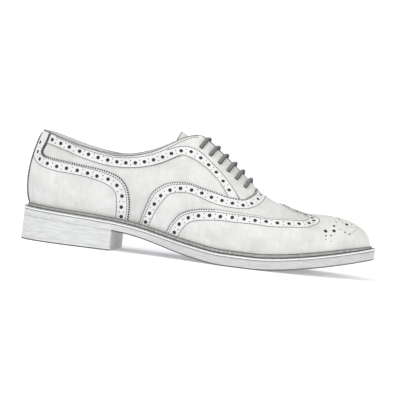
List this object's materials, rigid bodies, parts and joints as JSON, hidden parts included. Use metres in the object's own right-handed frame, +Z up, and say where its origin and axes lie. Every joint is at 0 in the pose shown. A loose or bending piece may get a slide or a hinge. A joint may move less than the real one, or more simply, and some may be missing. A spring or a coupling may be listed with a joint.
{
  "type": "oxford brogue shoe",
  "caption": "Low closed-lacing leather dress shoe with a wing toe cap, counter, laced facings, tongue, welt, outsole and stacked heel.",
  "frame": {"origin": "on the floor, under the middle of the shoe's bounding box", "axes": "+X to the toe, +Y to the inner side of the foot, +Z up"},
  "size_m": [0.308, 0.1036, 0.1079],
  "materials": {
    "upper_leather": "smooth off-white calf with a soft sheen",
    "tongue_leather": "soft grained off-white leather",
    "lining_leather": "matt undyed lining leather",
    "welt_leather": "pale edge with a dark grey standing rib",
    "outsole_leather": "light grey sole leather, waxed edge",
    "heel_leather": "pale stacked leather with fine level lines",
    "heel_rubber": "matt grey rubber",
    "lace_cotton": "waxed dark grey round lace"
  },
  "bodies": {
    "root": {"outsole": "outsole_leather", "welt": "welt_leather", "heel_stack": "heel_leather", "top_piece": "heel_rubber", "insole": "lining_leather", "upper": "upper_leather", "counter": "upper_leather", "vamp": "upper_leather", "wing_cap": "upper_leather", "facing_outer": "upper_leather", "facing_inner": "upper_leather", "tongue": "tongue_leather", "lace": "lace_cotton"}
  },
  "joints": []
}
